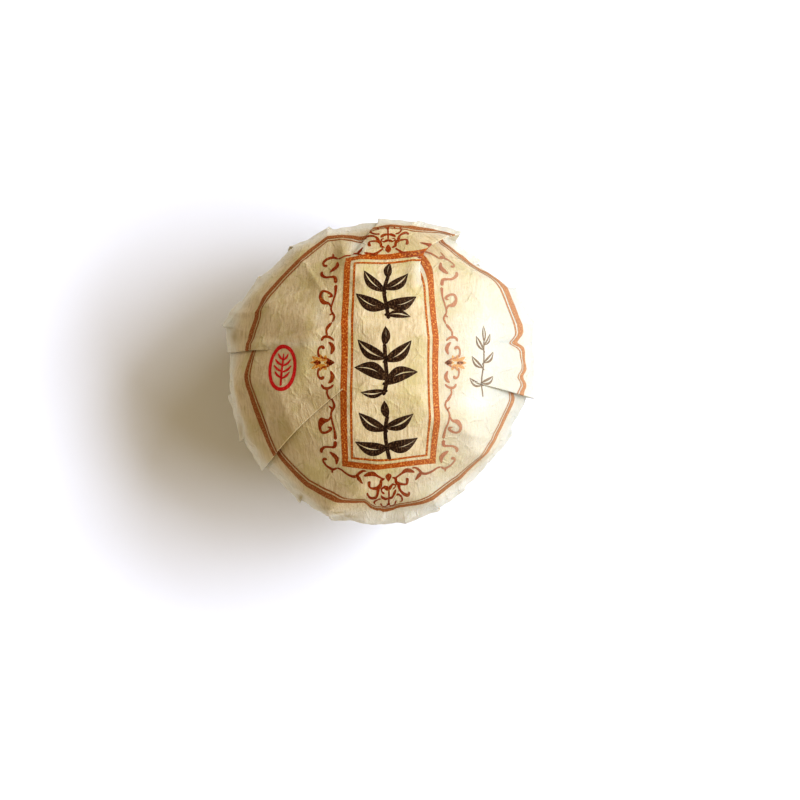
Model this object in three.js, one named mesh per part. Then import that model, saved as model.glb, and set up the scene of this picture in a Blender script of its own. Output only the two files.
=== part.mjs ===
// A ball of pressed tea in its printed paper wrapper, resting on the twist that closes the paper.
// One closed solid, in millimetres: +Z is up, the print faces up, and the ball stands on z = 0.
//
// The sheet was laid over the top of the ball and gathered below, so the paper lies in panels that run from
// the top down to the twist. Panels meet at folds, where one layer steps up over the next, and between two
// folds the paper is taut. Azimuths are degrees anticlockwise from +X, seen from above, and polar angles are
// degrees from the top of the ball.

import * as THREE from 'three';
import { mergeVertices } from 'three/addons/utils/BufferGeometryUtils.js';

// The pressed ball under the paper.
const BALL_RADIUS = 13.2;
const TOP_HEIGHT = 12.8; // from the ball's centre to its top
const BOTTOM_DEPTH = 12.5; // from the centre to where the bottom would be, had it not been pressed flat
const CENTRE_HEIGHT = 11.6; // of the ball's centre above the surface it stands on

// Flat patches where the paper is pulled over the lumps of leaf.
const PATCH_COUNT = 84;
const PATCH_INSET = 0.24; // the most that one patch is pressed in
const PATCH_ROUNDING = 0.1; // softness of the ridge between two patches

// The wide folds: azimuth at the rim, the rim's radius just before and just after the fold, and where the
// fold begins on the face, as a distance from the middle and an azimuth.
const WIDE_FOLDS = [
  { at: -11, before: 13.15, after: 14.1, from: { radius: 6.6, at: -9 } },
  { at: 58.5, before: 13.1, after: 14.0, from: { radius: 8.0, at: 60 } },
  { at: 89.5, before: 12.95, after: 12.7, from: { radius: 9.8, at: 107 } },
  { at: 174, before: 13.35, after: 12.85, from: { radius: 8.2, at: 165 } },
  { at: 221.5, before: 13.5, after: 12.8, from: { radius: 3.2, at: 212 } },
  { at: 265, before: 13.75, after: 14.1, from: { radius: 9.6, at: 258 } },
  { at: 280, before: 14.2, after: 13.8, from: { radius: 11.0, at: 279 } },
];

// The corners of the rim between them. At each a narrow fold starts and runs down the side. A positive step
// lays the panel before the fold over the next one, and a negative step the other way round.
const RIM_CORNERS = [
  { at: 15.5, radius: 14.25, step: 0.22 },
  { at: 30, radius: 13.8, step: 0.3 },
  { at: 45, radius: 12.75, step: -0.34 },
  { at: 75, radius: 13.4, step: 0.24 },
  { at: 110, radius: 13.25, step: -0.22 },
  { at: 126, radius: 13.4, step: 0.32 },
  { at: 143, radius: 12.95, step: -0.2 },
  { at: 154, radius: 13.35, step: -0.26 },
  { at: 165, radius: 14.15, step: 0.34 },
  { at: 190, radius: 13.1, step: -0.24 },
  { at: 208, radius: 13.75, step: 0.3 },
  { at: 240, radius: 13.25, step: 0.28 },
  { at: 252, radius: 13.5, step: -0.3 },
  { at: 293, radius: 13.35, step: 0.26 },
  { at: 306, radius: 12.95, step: 0.3 },
  { at: 320, radius: 12.85, step: -0.28 },
  { at: 335, radius: 13.05, step: 0.32 },
];
const RIM = 82; // polar angle where the rim has its full outline
const CORNERS_FROM = 40; // polar angle where the rim's corners start to shape the face
const NARROW_FOLDS_FROM = 58; // polar angles between which the narrow folds rise
const NARROW_FOLDS_TO = 92;
const SIDE_LEAN = 12; // the most that a narrow fold leans on its way down the side

// The gathered underside.
const GATHER_FROM = 112; // polar angles between which the panels turn into the twist
const GATHER_TO = 176;
const GATHER_TURN = 78; // how far the paper turns round the twist
const FLUTE_DEPTH = 0.5; // depth of the valleys between two gathered panels
const GATHERED_LIFT = 0.35; // share of the rim's outline and steps that is left at the seat

// The flattened ring that the ball stands on, round the pressed knot of the twist.
const SEAT_RADIUS = 5.6;
const SEAT_POLAR = 154; // polar angle where the side meets the seat
const KNOT_RADIUS = 2.4;
const KNOT_LOBES = 3;
const KNOT_LOBE_DEPTH = 0.25;
const KNOT_GROOVE = 0.9; // depth of the groove round the knot
const KNOT_GROOVE_WIDTH = 0.9;

// Fineness of the faceted solid.
const COLUMNS_PER_PANEL = 4;
const STEP_WIDTH = 0.12; // of the drop at a fold, seen from above
const ROWS = [...range(5, 41, 6), ...range(46, 61, 5), ...range(65, 117, 4), ...range(122, 152, 5)];
const SEAT_ROWS = [5.6, 4.8, 4.1, 3.5, 3.1, 2.8, 2.4, 1.5];

function range(first, last, by) {
  const values = [];
  for (let value = first; value <= last; value += by) values.push(value);
  return values;
}

const radians = THREE.MathUtils.degToRad;
const degrees = THREE.MathUtils.radToDeg;
const mix = THREE.MathUtils.lerp;
const ease = THREE.MathUtils.smoothstep;

// A repeatable number between 0 and 1 for each index.
function scatter(index) {
  const x = Math.sin(index * 12.9898 + 4.1414) * 43758.5453;
  return x - Math.floor(x);
}

function direction(polar, azimuth) {
  const [p, a] = [radians(polar), radians(azimuth)];
  return new THREE.Vector3(Math.sin(p) * Math.cos(a), Math.sin(p) * Math.sin(a), Math.cos(p));
}

// Distance from the ball's centre to the smooth ball along a direction.
function smoothRadius(toward) {
  const height = toward.z > 0 ? TOP_HEIGHT : BOTTOM_DEPTH;
  return 1 / Math.hypot(Math.hypot(toward.x, toward.y) / BALL_RADIUS, toward.z / height);
}

// The patches are planes that touch the smooth ball all round, each pressed in by its own amount.
const patches = range(0, PATCH_COUNT - 1, 1).map((k) => {
  const z = 1 - (2 * k + 1) / PATCH_COUNT;
  const ring = Math.sqrt(1 - z * z);
  const turn = k * Math.PI * (3 - Math.sqrt(5)) + 0.5 * scatter(k);
  const normal = new THREE.Vector3(ring * Math.cos(turn), ring * Math.sin(turn), z);
  const reach = Math.hypot(BALL_RADIUS * ring, (z > 0 ? TOP_HEIGHT : BOTTOM_DEPTH) * z);
  return { normal, reach: reach - PATCH_INSET * scatter(k + 300) };
});

// Distance to the patched ball: the nearest patch, with the ridges rounded.
function patchedRadius(toward) {
  const distances = patches.filter(({ normal }) => toward.dot(normal) > 0.5)
    .map(({ normal, reach }) => reach / toward.dot(normal));
  const nearest = Math.min(...distances);
  const crowd = distances.reduce((sum, d) => sum + Math.exp((nearest - d) / PATCH_ROUNDING), 0);
  return nearest - PATCH_ROUNDING * Math.log(crowd);
}

// All folds in order round the ball. Each knows its place between the wide folds on either side of it.
const folds = [
  ...WIDE_FOLDS.map((fold) => ({ ...fold, step: 0 })),
  ...RIM_CORNERS.map(({ at, radius, step }) => ({ at, before: radius, after: radius, step })),
].sort((a, b) => a.at - b.at);

folds.forEach((fold, k) => {
  if (fold.from) {
    fold.starts = degrees(Math.asin(fold.from.radius / BALL_RADIUS));
    fold.lean = 0;
    return;
  }
  const wide = folds.filter((other) => other.from);
  fold.starts = CORNERS_FROM;
  fold.lean = SIDE_LEAN * (scatter(k + 40) - 0.5);
  fold.left = wide.filter((other) => other.at < fold.at).at(-1);
  fold.right = wide.find((other) => other.at > fold.at);
  fold.turn = fold.right ? 0 : 360; // past the last wide fold, the next one is the first
  fold.right ??= wide[0];
  fold.share = (fold.at - fold.left.at) / (fold.right.at + fold.turn - fold.left.at);
});

// The azimuth of a wide fold at a polar angle: straight across the face from where it begins to the rim.
function wideFoldAzimuth(fold, polar) {
  const begin = Math.sin(radians(fold.starts));
  const rim = Math.sin(radians(RIM));
  const here = Math.sin(radians(Math.min(polar, RIM)));
  return mix(fold.from.at, fold.at, Math.max((here - begin) / (rim - begin), 0));
}

// A narrow fold keeps its place between the wide ones, leans on the side and turns into the twist.
function foldAzimuth(fold, polar) {
  const azimuth = fold.from ? wideFoldAzimuth(fold, polar)
    : mix(wideFoldAzimuth(fold.left, polar), wideFoldAzimuth(fold.right, polar) + fold.turn, fold.share);
  const leaning = fold.lean * ease(polar, RIM, GATHER_FROM);
  const turning = GATHER_TURN * ease(polar, GATHER_FROM, GATHER_TO);
  return azimuth + leaning + turning;
}

// How far the paper stands off the ball just before and just after a fold.
function standOff(fold, polar) {
  const outline = ease(polar, fold.starts, RIM);
  const step = fold.step * ease(polar, NARROW_FOLDS_FROM, NARROW_FOLDS_TO) / 2;
  const left = mix(1, GATHERED_LIFT, ease(polar, RIM, SEAT_POLAR));
  return {
    before: left * ((fold.before - BALL_RADIUS) * outline + step),
    after: left * ((fold.after - BALL_RADIUS) * outline - step),
  };
}

// The panel between fold k and the next, at a polar angle: where it starts and ends.
function panelAt(k, polar) {
  const [fold, next] = [folds[k], folds[(k + 1) % folds.length]];
  const from = foldAzimuth(fold, polar);
  const to = foldAzimuth(next, polar) + (next === folds[0] ? 360 : 0);
  const around = BALL_RADIUS * Math.sin(radians(polar));
  const drop = degrees(STEP_WIDTH / 2 / around);
  const opening = (f) => {
    const { before, after } = standOff(f, polar);
    return drop * Math.min(Math.abs(before - after) / STEP_WIDTH, 1); // closed where the fold hasn't begun
  };
  return {
    from: from + opening(fold),
    to: to - opening(next),
    first: standOff(fold, polar).after,
    last: standOff(next, polar).before,
  };
}

// Height of the underside over the resting plane: zero on the knot and on the crests of the panels.
function seatHeight(distance, share) {
  const valley = Math.cos(Math.PI * share) ** 2;
  const ring = ease(distance, KNOT_RADIUS, KNOT_RADIUS + 2 * KNOT_GROOVE_WIDTH);
  const fromGroove = Math.abs(distance - KNOT_RADIUS - KNOT_GROOVE_WIDTH / 2);
  const groove = distance > KNOT_RADIUS ? 1 - ease(fromGroove, 0, KNOT_GROOVE_WIDTH) : 0;
  return FLUTE_DEPTH * valley * ring + KNOT_GROOVE * groove;
}

// A point of the skin above the seat: share goes from 0 at fold k to 1 at the next fold.
function skinPoint(polar, k, share) {
  const panel = panelAt(k, polar);
  const toward = direction(polar, mix(panel.from, panel.to, share));
  const outline = ease(polar, CORNERS_FROM, RIM);
  const gathered = ease(polar, GATHER_FROM, SEAT_POLAR);
  const patch = (patchedRadius(toward) - smoothRadius(toward)) * (1 - 0.6 * outline);
  const halfAngle = radians(panel.to - panel.from) / 2;
  const sag = BALL_RADIUS * Math.sin(radians(polar)) * (1 - Math.cos(halfAngle)) * outline * (1 - gathered);
  const flute = FLUTE_DEPTH * gathered * Math.cos(Math.PI * share) ** 2;
  const off = mix(panel.first, panel.last, share) - 4 * share * (1 - share) * sag - flute;
  const point = toward.clone().multiplyScalar(smoothRadius(toward) + patch + off);
  point.z = Math.max(point.z + CENTRE_HEIGHT, seatHeight(SEAT_RADIUS, share));
  return point;
}

// A point of the seat or the knot, at a distance from the middle of the underside.
function seatPoint(distance, k, share) {
  const outward = distance / SEAT_RADIUS;
  const panel = panelAt(k, mix(GATHER_TO, SEAT_POLAR, outward));
  const azimuth = radians(mix(panel.from, panel.to, share));
  const knot = 1 - ease(distance, KNOT_RADIUS, KNOT_RADIUS + KNOT_GROOVE_WIDTH);
  const lobe = KNOT_LOBE_DEPTH * Math.sin(KNOT_LOBES * azimuth) * knot * (distance / KNOT_RADIUS);
  const reach = distance + lobe + mix(panel.first, panel.last, share) * outward;
  return new THREE.Vector3(reach * Math.cos(azimuth), reach * Math.sin(azimuth), seatHeight(distance, share));
}

// The skin: rings of points from the top to the middle of the underside, joined into triangles.
function wrapperGeometry() {
  const columns = [];
  for (let k = 0; k < folds.length; k += 1) {
    for (let c = 0; c < COLUMNS_PER_PANEL; c += 1) columns.push([k, c / (COLUMNS_PER_PANEL - 1)]);
  }
  const rings = [
    ...ROWS.map((polar) => columns.map(([k, share]) => skinPoint(polar, k, share))),
    ...SEAT_ROWS.map((distance) => columns.map(([k, share]) => seatPoint(distance, k, share))),
  ];
  const top = new THREE.Vector3(0, 0, CENTRE_HEIGHT + patchedRadius(new THREE.Vector3(0, 0, 1)));
  const bottom = new THREE.Vector3(0, 0, 0);
  const corners = [];
  columns.forEach((column, a) => {
    const b = (a + 1) % columns.length;
    corners.push(top, rings[0][a], rings[0][b]);
    for (let r = 0; r + 1 < rings.length; r += 1) {
      corners.push(rings[r][a], rings[r + 1][a], rings[r + 1][b]);
      corners.push(rings[r][a], rings[r + 1][b], rings[r][b]);
    }
    corners.push(bottom, rings.at(-1)[b], rings.at(-1)[a]);
  });
  return closed(new THREE.BufferGeometry().setFromPoints(corners));
}

// Shares the corners that fall on one place, and drops the triangles that this leaves without an area.
function closed(loose) {
  const SAME_PLACE = 2e-3;
  const merged = mergeVertices(loose, SAME_PLACE);
  const { array } = merged.index;
  const kept = [];
  for (let i = 0; i < array.length; i += 3) {
    const [a, b, c] = array.slice(i, i + 3);
    if (a !== b && b !== c && c !== a) kept.push(a, b, c);
  }
  merged.setIndex(kept);
  return merged;
}

function wrappedBall() {
  const geometry = wrapperGeometry();
  geometry.computeBoundingBox();
  const middle = geometry.boundingBox.getCenter(new THREE.Vector3());
  geometry.translate(-middle.x, -middle.y, 0); // the origin is under the middle of the ball
  geometry.computeVertexNormals();
  const paper = new THREE.MeshStandardMaterial({ color: 0xe6dcbf, roughness: 0.85, metalness: 0 });
  const mesh = new THREE.Mesh(geometry, paper);
  mesh.name = 'wrapped_ball';
  return mesh;
}

const part = new THREE.Group();
part.add(wrappedBall());

export default part;
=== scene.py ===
"""A ball of pressed tea in its printed paper wrapper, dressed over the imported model.

Lengths in the settings are metres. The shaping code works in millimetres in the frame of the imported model:
+Z up, the print facing up, +X to the right of the print, the ball standing on z = 0. Azimuths are degrees
anticlockwise from +X, and polar angles are degrees from the top of the ball. Sheet places are places on the
paper before it was folded, in millimetres from the middle of the ball's top.
"""
import math

import bpy
import numpy as np
from bpy.props import FloatProperty, FloatVectorProperty, PointerProperty
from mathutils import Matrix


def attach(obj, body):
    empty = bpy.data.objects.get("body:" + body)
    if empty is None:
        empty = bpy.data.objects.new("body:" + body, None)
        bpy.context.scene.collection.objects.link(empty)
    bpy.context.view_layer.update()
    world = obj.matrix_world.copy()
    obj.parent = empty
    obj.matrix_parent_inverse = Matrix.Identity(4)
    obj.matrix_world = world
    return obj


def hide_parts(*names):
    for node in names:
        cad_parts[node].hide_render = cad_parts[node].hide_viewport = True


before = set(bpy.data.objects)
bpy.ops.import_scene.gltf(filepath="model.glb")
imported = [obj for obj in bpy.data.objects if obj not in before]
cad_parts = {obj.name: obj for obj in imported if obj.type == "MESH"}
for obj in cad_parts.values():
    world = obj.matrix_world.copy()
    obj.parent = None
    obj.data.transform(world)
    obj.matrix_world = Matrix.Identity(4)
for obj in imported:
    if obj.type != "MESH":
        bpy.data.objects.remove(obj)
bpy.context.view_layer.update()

bl_info = {
    "name": "Wrapped Tea Ball",
    "version": (1, 0, 0),
    "blender": (4, 5, 0),
    "location": "View3D > Sidebar > Tea Ball",
    "description": "Builds a ball of pressed tea in its printed paper wrapper",
    "category": "Add Mesh",
}

MM = 0.001

# The wrapper's shape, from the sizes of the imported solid, with the rim's radii set more finely

BALL_RADIUS = 13.2
TOP_HEIGHT = 12.8
BOTTOM_DEPTH = 12.5
CENTRE_HEIGHT = 11.6
CENTRE_SHIFT = (-0.17, 0.5)  # puts the middle of the wrapper's box over the origin

PATCH_COUNT = 84
PATCH_INSET = 0.24
PATCH_ROUNDING = 0.1
PATCHES_AT_RIM = 0.4  # share of their depth that the flat patches keep at the rim

# Wide folds: azimuth at the rim, rim radius before and after, distance and azimuth where the fold begins,
# paper hidden in it, and how far the print has slipped inwards before and after it. Some bend on their way,
# or have a thinner layer or a soft edge.
WIDE_FOLDS = [
    dict(at=-11, before=13.6, after=14.1, start=(8.6, -8.4), tuck=1.7, slip=(0.55, -0.3), layer=0.45),
    dict(at=58.5, before=13.1, after=14.0, start=(8.0, 60), tuck=2.0, slip=(-0.9, -1.2), bend=9),
    dict(at=89.5, before=12.95, after=12.75, start=(9.8, 107), tuck=1.2, slip=(0.2, 1.2), bend=-3.5),
    dict(at=174, before=13.1, after=13.05, start=(9.6, 170.5), tuck=0.9, slip=(0.25, 2.0)),
    dict(at=221.5, before=13.35, after=13.0, start=(3.2, 212), tuck=1.3, slip=(-0.1, -0.3)),
    dict(at=265, before=13.92, after=13.92, start=(12.7, 264), tuck=0.3, slip=(0.3, 0.3), layer=0.08,
         soft=True),
    dict(at=280, before=13.98, after=13.98, start=(12.7, 280), tuck=0.3, slip=(-1.2, -1.2), layer=0.08,
         soft=True),
]

# Corners of the rim: azimuth, radius, step of the narrow fold, slip of the print.
RIM_CORNERS = [
    (15.5, 14.2, -0.12, -0.1), (30, 13.9, 0.3, -0.3), (45, 12.85, -0.34, -0.4), (75, 13.45, 0.12, -0.6),
    (110, 13.0, -0.1, -1.1), (125, 13.0, 0.16, 0.45), (143, 13.1, -0.1, 0.6), (154, 13.35, -0.12, 0.5),
    (165, 14.1, 0.3, 0.4), (190, 13.25, -0.12, 0.95), (208, 13.65, 0.25, 0.3), (240, 13.5, 0.14, -0.4),
    (252, 13.95, -0.12, 0.4), (293, 13.45, 0.14, -0.7), (306, 13.1, 0.14, 0.0), (320, 12.85, -0.14, 1.25),
    (335, 12.95, 0.2, 0.75),
]
RIM = 82
CORNERS_FROM = 56  # the corners stand out from this polar angle
SMALL_STEP_FROM = 90  # a narrow fold with no step begins here, and one with a full step higher up
FULL_STEP_FROM = 73
FULL_STEP = 0.3
NARROW_FOLDS_TO = 92
SIDE_LEAN = 12
NARROW_TUCK = 1.25
GATHER_FROM = 112
GATHER_TO = 176
GATHER_TURN = 78
FLUTE_DEPTH = 0.5
GATHERED_LIFT = 0.35
SEAT_RADIUS = 5.6
SEAT_POLAR = 154
KNOT_RADIUS = 2.4
KNOT_LOBES = 3
KNOT_LOBE_DEPTH = 0.25
KNOT_GROOVE = 0.9
KNOT_GROOVE_WIDTH = 0.9
SWIRL_HEIGHT = 0.1  # the fine pleats on the knot: height, number, radians that they turn in a millimetre
SWIRL_PLEATS = 9
SWIRL_TURN = 2.2
LAYER = 0.09  # the upper layer of paper lies this much higher beside a fold
LAYER_WITHIN = 7  # degrees from the fold's beginning to that
WIDE_TUCK_WITHIN = 22  # and to the full width of its hidden paper
NARROW_TUCK_WITHIN = 18
FLATTENED = (138, 152)  # the folds flatten out between these polar angles
PLEATS_FLATTENED = (135, 150)
PLEAT_TUCK = 0.8
PLEAT_RISES_WITHIN = 14
PLEAT_TUCK_WITHIN = 16
PLEAT_CLEARANCE = 0.12  # share of a panel beside its folds that has no pleats
LIP_GAP = 0.12  # the step at an edge from which the paper lifts and dips fully
OPEN_GAP = 0.1  # and from which it overlaps fully
LOOSE_FROM, LOOSE_TO = 66, 80  # the paper is loose from the tea between these polar angles
SLIP_FROM, SLIP_TO = 45, 68  # and the print has slipped fully between these
FLUTTER = [(0.035, 23, 1.3, 0), (0.025, 61, 0.4, 1 / 9)]  # ripples: height, number, phase, lean
RIPPLE_ROWS = (68, 84, 100, 130)  # they rise and fade between these polar angles

# Kinds of edges: share of the overlap, and how far the paper lifts beside the edge.
EDGE_KINDS = dict(wide=(1.25, 0.06), narrow=(0.8, 0.03), soft=(0.3, 0.005), pleat=(0.7, 0.02))

# The paper that runs back under an edge: share of the overlap, and share of the way down to the lower layer.
WIDE_PROFILE = [(0.5, 0.3), (1.0, 0.6), (0.5, 1.0)]
NARROW_PROFILE = [(1.0, 0.6)]

# Small pleats between the folds: azimuth at the rim, step (positive lays the side before over the side
# after), polar angle where the pleat starts.
SMALL_PLEATS = [
    (2, 0.16, 92), (8.5, -0.18, 90), (22, 0.16, 94), (37, -0.18, 92), (52, 0.16, 96), (67, -0.16, 94),
    (82, 0.14, 94), (98, 0.14, 96), (118, -0.16, 92), (134, 0.18, 94), (160, 0.14, 94), (180, 0.18, 92),
    (198, -0.18, 94), (214, 0.14, 96), (230, -0.18, 94), (258, 0.16, 96), (272, 0.14, 94), (286, -0.16, 94),
    (299, 0.18, 92), (313, -0.16, 94), (327, 0.18, 92), (342, -0.18, 94),
]

# Creases pressed into the face, seen from above: from, to, depth (negative stands up), half width.
CREASES = [
    ((-8.8, 2.0), (-2.9, 3.9), -0.34, 0.28), ((-10.0, 5.1), (-6.4, 6.8), -0.26, 0.25),
    ((-12.2, 4.6), (-9.6, 4.9), -0.16, 0.25), ((-12.4, 1.9), (-8.6, 2.3), -0.14, 0.28),
    ((-9.8, -1.5), (-9.3, -5.8), -0.1, 0.3), ((-6.6, 9.3), (-4.4, 6.2), -0.16, 0.28),
    ((8.2, 6.2), (10.6, 3.4), -0.12, 0.35), ((6.5, -5.2), (10.5, -6.4), -0.12, 0.35),
    ((-2.2, -11.6), (1.8, -10.9), -0.08, 0.35), ((10.2, 2.3), (12.4, 2.1), 0.28, 0.55),
    ((9.6, 1.5), (12.9, 0.7), 0.16, 0.5), ((-2.9, 9.4), (-3.3, 11.5), -0.22, 0.45),
    ((-2.2, 9.6), (-1.3, 11.8), 0.2, 0.5), ((3.0, 9.5), (3.1, 7.0), -0.2, 0.4),
    ((-12.1, -4.5), (-11.7, -6.7), 0.6, 0.34), ((-12.9, -4.2), (-12.5, -7.0), -0.2, 0.35),
    ((-5.2, -12.2), (-1.5, -13.2), 0.3, 0.2), ((-4.5, 4.3), (-5.6, 7.2), -0.06, 0.25),
    ((-10.6, -0.4), (-9.9, -7.2), 0.08, 0.5), ((6.8, -1.0), (9.6, -1.4), 0.1, 0.7),
]

# Extra slip of the print at small folds of the rim: azimuth, slip, half width.
SLIPS = [
    (10.3, 0.95, 2.0), (-3.6, 0.9, 2.0), (65, -0.5, 5), (97, 0.4, 4), (350, 0.7, 2),
    (266.6, -0.8, 1.1), (269, -1.6, 1.9), (272.6, -1.6, 2.3), (276, -1.0, 2.0),
]

# Tones of the paper, seen from above: middle, half widths and strength of each patch.
# Part tea showing through, part painted shade: top flap, beside folds, in valleys and creases, right of the
# frame
TEA_AND_SHADE_PATCHES = [
    ((-3.6, 8.2), (0.9, 1.6), 0.55), ((-5.6, 7.2), (1.6, 1.1), 0.35), ((-5.2, -2.6), (1.6, 0.7), 0.3),
    ((-7.9, -6.4), (1.5, 1.4), 0.35), ((-12.05, -5.9), (0.25, 1.1), 0.75), ((-12.55, 2.7), (0.28, 0.5), 0.8),
    ((-6.8, -11.45), (0.22, 0.22), 0.9), ((-0.2, 3.3), (0.9, 0.5), 0.4), ((-1.7, 7.4), (0.5, 0.5), 0.4),
    ((-4.6, -12.35), (0.6, 0.1), 0.6), ((-3.4, -12.75), (0.6, 0.1), 0.7), ((-2.3, -13.05), (0.6, 0.1), 0.6),
    ((0.2, -11.9), (0.7, 0.6), 0.25), ((-9.6, 1.5), (1.6, 0.5), 0.2), ((7.9, -1.5), (1.6, 0.45), 0.3),
    ((9.3, -5.2), (2.8, 2.6), 0.22), ((11.4, 2.2), (0.7, 0.35), 0.25), ((1.0, 10.9), (2.6, 1.0), 0.65),
    ((5.9, 1.5), (1.3, 6.5), 0.3), ((-3.2, 9.9), (0.7, 1.2), 0.75), ((-5.65, 0.5), (0.4, 0.6), 0.5),
    ((-10.2, -9.6), (1.0, 0.5), 0.2),
]
# Part paler paper, part painted highlights: lit facets beside folds, and the lower right and right of the
# ball
PALE_AND_HIGHLIGHT_PATCHES = [
    ((7.6, 11.6), (1.2, 1.0), 0.5), ((3.7, 8.6), (0.5, 1.2), 0.55), ((-1.6, 10.7), (0.8, 0.7), 0.8),
    ((-7.2, 2.1), (2.4, 0.35), 0.3), ((8.6, -3.0), (2.2, 0.9), 0.3), ((-5.1, 4.7), (0.35, 1.3), 0.25),
    ((-2.9, -0.9), (0.5, 0.8), 0.35), ((5.5, -10.6), (3.0, 1.6), 0.5), ((9.8, 0.5), (3.6, 8.0), 0.68),
]
# Part grey paper, part painted shade: the brightly lit right of the ball, its rim, and a valley at the right
GREY_AND_SHADE_PATCHES = [
    ((12.0, 0.5), (3.2, 9.0), 0.52), ((8.5, -6.5), (2.4, 2.4), 0.3), ((6.2, 0.5), (1.2, 7.0), 0.22),
    ((14.1, 1.2), (0.7, 4.5), 0.75), ((12.4, -6.5), (0.8, 2.8), 0.6), ((8.3, 11.5), (2.0, 0.6), 0.5),
    ((11.9, 7.0), (0.7, 3.0), 0.55), ((11.0, 2.3), (0.9, 0.22), 0.6), ((10.4, -2.3), (2.0, 0.4), 0.4),
    ((5.5, -12.4), (4.0, 0.5), 0.3), ((-12.9, 3.6), (0.6, 1.0), 0.4),
]
FACE_TO = (82, 96)  # creases and tones fade out between these polar angles

SHEET_SIZE = 90.0  # the sheet's UV map spans this width
SHEET_STRETCH = 13.1  # sheet distance from the middle for each radian of polar angle

FACE_ROWS = np.concatenate([np.arange(1.0, 100.0, 0.8), np.arange(100.0, 153.0, 1.5)])  # polar angles
SEAT_ROWS = np.array([5.6, 5.1, 4.7, 4.3, 4.0, 3.7, 3.45, 3.2, 3.0, 2.8, 2.6, 2.4, 2.0, 1.5, 0.9, 0.4])
COLUMN_WIDTH = 0.29  # at the rim
EDGE_MARGIN = 0.12  # the first column beside an edge
LIP = 0.7  # width of the paper that lifts or dips beside a fold
LIP_DIP = 1.3  # how far the lower layer dips for each millimetre that the upper one lifts
MOST_OVERLAP = 0.6  # share of the strip beside an edge that the paper under it reaches at most
GAP_SHARE = 0.4  # the paper's thickness at a low step, as a share of the step
LAYERS_APART = 1.8  # thicknesses from the upper layer's outer face to the lower layer


def ease(value, start, end):
    share = np.clip((np.asarray(value, float) - start) / (end - start), 0, 1)
    return share * share * (3 - 2 * share)


def mix(a, b, share):
    return a + (b - a) * share


def scatter(index):
    value = math.sin(index * 12.9898 + 4.1414) * 43758.5453
    return value - math.floor(value)


def direction(polar, azimuth):
    p, a = np.radians(polar), np.radians(azimuth)
    return np.stack([np.sin(p) * np.cos(a), np.sin(p) * np.sin(a), np.cos(p) + 0 * a], axis=-1)


def smooth_radius(toward):
    height = np.where(toward[..., 2] > 0, TOP_HEIGHT, BOTTOM_DEPTH)
    flat = np.hypot(toward[..., 0], toward[..., 1]) / BALL_RADIUS
    return 1 / np.hypot(flat, toward[..., 2] / height)


def ball_patches():
    normals, reaches = [], []
    for k in range(PATCH_COUNT):
        z = 1 - (2 * k + 1) / PATCH_COUNT
        ring = math.sqrt(1 - z * z)
        turn = k * math.pi * (3 - math.sqrt(5)) + 0.5 * scatter(k)
        normals.append((ring * math.cos(turn), ring * math.sin(turn), z))
        height = TOP_HEIGHT if z > 0 else BOTTOM_DEPTH
        reaches.append(math.hypot(BALL_RADIUS * ring, height * z) - PATCH_INSET * scatter(k + 300))
    return np.array(normals), np.array(reaches)


PATCH_NORMALS, PATCH_REACHES = ball_patches()


def patched_radius(toward):
    facing = toward @ PATCH_NORMALS.T
    distance = np.where(facing > 0.5, PATCH_REACHES / np.maximum(facing, 0.01), 1000.0)
    nearest = distance.min(axis=-1)
    crowd = np.exp((nearest[..., None] - distance) / PATCH_ROUNDING).sum(axis=-1)
    return nearest - PATCH_ROUNDING * np.log(crowd)


def all_folds():
    folds = [dict(fold, step=0, lean=0, wide=True) for fold in WIDE_FOLDS]
    for at, radius, step, slip in RIM_CORNERS:
        folds.append(dict(at=at, before=radius, after=radius, step=step, slip=(slip, slip),
                          tuck=NARROW_TUCK, wide=False))
    folds.sort(key=lambda fold: fold["at"])
    wide = [fold for fold in folds if fold["wide"]]
    for k, fold in enumerate(folds):
        if fold["wide"]:
            fold["starts"] = math.degrees(math.asin(fold["start"][0] / BALL_RADIUS))
            continue
        right = [other for other in wide if other["at"] > fold["at"]]
        fold["starts"] = CORNERS_FROM
        fold["lean"] = SIDE_LEAN * (scatter(k + 40) - 0.5)
        fold["left"] = [other for other in wide if other["at"] < fold["at"]][-1]
        fold["right"] = right[0] if right else wide[0]
        fold["turn"] = 0 if right else 360
        span = fold["right"]["at"] + fold["turn"] - fold["left"]["at"]
        fold["share"] = (fold["at"] - fold["left"]["at"]) / span
    return folds


FOLDS = all_folds()


def wide_azimuth(fold, polar):
    begin, rim = math.sin(math.radians(fold["starts"])), math.sin(math.radians(RIM))
    here = np.sin(np.radians(np.minimum(polar, RIM)))
    run = np.maximum((here - begin) / (rim - begin), 0)
    return mix(fold["start"][1], fold["at"], run) + fold.get("bend", 0) * np.sin(np.pi * np.minimum(run, 1))


def sheet_azimuth(fold, polar):
    if fold["wide"]:
        return wide_azimuth(fold, polar)
    left, right = wide_azimuth(fold["left"], polar), wide_azimuth(fold["right"], polar) + fold["turn"]
    return mix(left, right, fold["share"])


def side_turn(fold, polar):
    return fold["lean"] * ease(polar, RIM, GATHER_FROM) + GATHER_TURN * ease(polar, GATHER_FROM, GATHER_TO)


def seat_height(distance, share):
    valley = np.cos(np.pi * share) ** 2
    ring = ease(distance, KNOT_RADIUS, KNOT_RADIUS + 2 * KNOT_GROOVE_WIDTH)
    from_groove = np.abs(distance - KNOT_RADIUS - KNOT_GROOVE_WIDTH / 2)
    groove = np.where(np.asarray(distance) > KNOT_RADIUS, 1 - ease(from_groove, 0, KNOT_GROOVE_WIDTH), 0)
    return FLUTE_DEPTH * valley * ring + KNOT_GROOVE * groove


def fade_at_edge(distance, v):
    """What an edge adds fades out with the distance from it and is gone at the strip's other side."""
    return np.exp(-distance / LIP) * (1 - v) ** 2


def tone(patches, x, y):
    """How strong a tone is: 1 at most, where its patches lie."""
    return np.minimum(sum(s * np.exp(-(((x - px) / w) ** 2) - ((y - py) / h) ** 2)
                          for (px, py), (w, h), s in patches), 1)


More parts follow.
